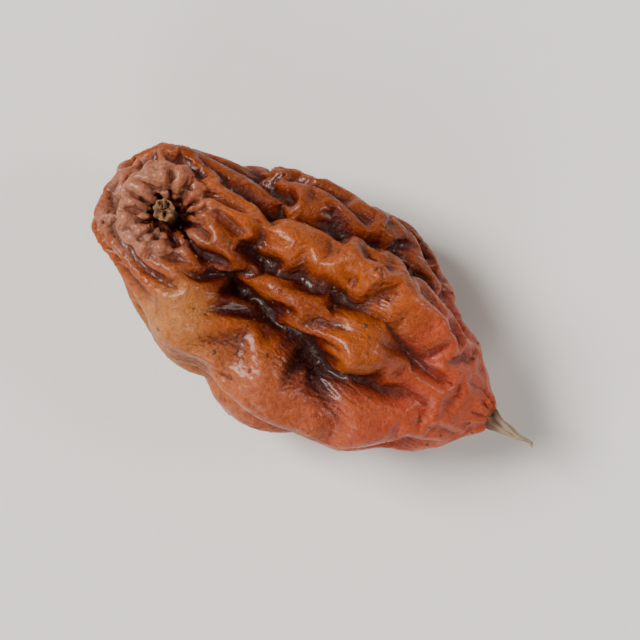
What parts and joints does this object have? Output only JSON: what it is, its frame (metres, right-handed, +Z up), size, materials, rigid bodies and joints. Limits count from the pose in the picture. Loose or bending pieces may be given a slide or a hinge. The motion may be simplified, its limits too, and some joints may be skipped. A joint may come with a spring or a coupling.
{
  "type": "dried sea buckthorn berry",
  "caption": "Single dried sea buckthorn berry with wrinkled, collapsed skin, a broken stalk stub in its hollow and a dry style point, lying on its flattest side.",
  "frame": {"origin": "middle of the berry's footprint, on the surface it lies on", "axes": "+X from the stalk end towards the style at the blossom end, +Z up as the berry lies"},
  "size_m": [0.0078, 0.004, 0.0031],
  "materials": {
    "berry_skin": "dried fruit skin, orange brown, translucent at the folds, waxy half gloss",
    "stalk_wood": "dry fibrous stalk, matt, pale at the break",
    "dry_style": "papery dry style, matt grey tan"
  },
  "bodies": {
    "root": {"fruit": "berry_skin", "stalk_stub": "stalk_wood", "style_remnant": "dry_style"}
  },
  "joints": []
}
